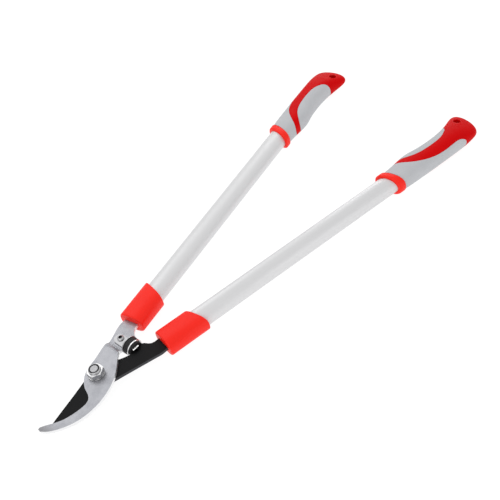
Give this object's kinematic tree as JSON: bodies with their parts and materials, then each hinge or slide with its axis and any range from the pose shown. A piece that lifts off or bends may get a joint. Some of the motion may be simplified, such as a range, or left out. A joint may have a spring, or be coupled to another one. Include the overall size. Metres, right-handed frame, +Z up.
{
  "type": "bypass loppers",
  "caption": "Long-handled bypass loppers with a hooked jaw, a curved cutting blade, one pivot bolt, oval tube handles, red sleeves, red and grey grips and a rubber stop.",
  "frame": {"origin": "centre of the underside of the pivot bolt's head, on the pivot axis", "axes": "+Z up along the pivot axis with the loppers lying flat, +X from the pivot towards the grips along the line between the handles, +Y towards the handle of the hooked jaw"},
  "size_m": [0.7081, 0.2878, 0.0336],
  "materials": {
    "hook_steel": "satin",
    "black_blade": "satin non-stick coating",
    "zinc_steel": "bright zinc plate",
    "tube_finish": "satin",
    "sleeve_red": "semi-gloss",
    "grip_red": "semi-gloss",
    "grip_grey": "soft matt",
    "buffer_rubber": "matt",
    "hidden_plastic": "matt"
  },
  "bodies": {
    "blade_half": {"cutting_blade": "black_blade", "pivot_bolt": "zinc_steel", "pivot_washer": "zinc_steel", "pivot_nut": "zinc_steel", "pivot_nut_insert": "hidden_plastic", "stop_pad": "buffer_rubber", "stop_plate": "zinc_steel", "blade_handle_tube": "tube_finish", "blade_handle_sleeve": "sleeve_red", "blade_handle_tang_plug": "hidden_plastic", "blade_handle_tang_pin": "zinc_steel", "blade_handle_collar": "sleeve_red", "blade_handle_grip_core": "grip_red", "blade_handle_palm_pad": "grip_grey", "blade_handle_finger_pad": "grip_grey"},
    "hook_half": {"hook_blade": "hook_steel", "buffer_bracket": "zinc_steel", "buffer_screw": "zinc_steel", "buffer_rubber": "buffer_rubber", "buffer_ring": "zinc_steel", "hook_handle_tube": "tube_finish", "hook_handle_sleeve": "sleeve_red", "hook_handle_tang_plug": "hidden_plastic", "hook_handle_tang_pin": "zinc_steel", "hook_handle_collar": "sleeve_red", "hook_handle_grip_core": "grip_red", "hook_handle_palm_pad": "grip_grey", "hook_handle_finger_pad": "grip_grey"}
  },
  "joints": [
    {"name": "pivot", "type": "hinge", "parent": "blade_half", "child": "hook_half", "pos_m": [0, 0, 0.01195], "axis": [0, 0, 1], "range_deg": [0, 70]}
  ]
}
